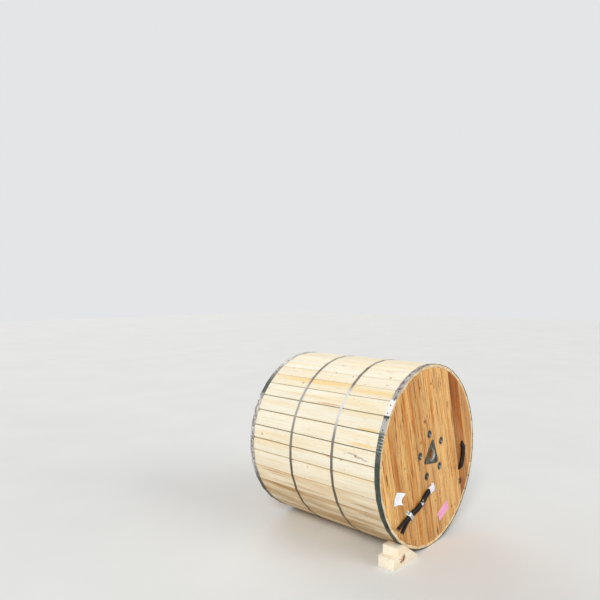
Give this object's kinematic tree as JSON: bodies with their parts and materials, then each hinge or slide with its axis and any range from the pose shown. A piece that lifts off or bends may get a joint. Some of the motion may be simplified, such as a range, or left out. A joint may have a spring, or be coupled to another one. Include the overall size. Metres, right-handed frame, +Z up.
{
  "type": "wooden cable drum",
  "caption": "Wooden cable drum with closed board lagging, steel bands and straps, hub plates, cable ends on one flange, lying beside its chock.",
  "frame": {"origin": "the middle of the drum, on the axis of the spindle bore", "axes": "+Y along the spindle bore away from the flange with the cable ends, +Z up as it lies"},
  "size_m": [1.142, 1.1006, 1.1426],
  "materials": {
    "lagging_wood": "sawn, unfinished",
    "flange_wood": "planed, knotty, unfinished",
    "barrel_wood": "sawn, unfinished",
    "chock_wood": "freshly sawn",
    "band_steel": "galvanised strip, dull, with small dents",
    "strap_steel": "galvanised strapping",
    "hub_steel": "pressed, dull grey",
    "fastener_steel": "zinc plated, dull",
    "clamp_steel": "bright strip",
    "cable_black": "smooth insulation",
    "wrap_white": "tape, wound",
    "label_white": "plain, bare",
    "label_pink": "plain, bare"
  },
  "bodies": {
    "root": {"lagging_boards": "lagging_wood", "front_edge_band": "band_steel", "back_edge_band": "band_steel", "front_strap": "strap_steel", "back_strap": "strap_steel", "strap_seals": "strap_steel", "front_flange_outer_boards": "flange_wood", "front_flange_inner_boards": "flange_wood", "back_flange_outer_boards": "flange_wood", "back_flange_inner_boards": "flange_wood", "barrel_staves": "barrel_wood", "front_barrel_disc": "barrel_wood", "back_barrel_disc": "barrel_wood", "tie_rods": "fastener_steel", "front_tie_cups": "fastener_steel", "back_tie_cups": "fastener_steel", "front_tie_nuts": "fastener_steel", "back_tie_nuts": "fastener_steel", "front_hub_plate": "hub_steel", "back_hub_plate": "hub_steel", "front_hub_bolts": "fastener_steel", "back_hub_bolts": "fastener_steel", "wound_cable": "cable_black", "inner_end_upper_core": "cable_black", "inner_end_lower_core": "cable_black", "outer_loop_first_core": "cable_black", "outer_loop_second_core": "cable_black", "cable_wrap": "wrap_white", "cable_tie": "wrap_white", "cable_clamp": "clamp_steel", "white_label": "label_white", "pink_label": "label_pink", "chock": "chock_wood"}
  },
  "joints": []
}
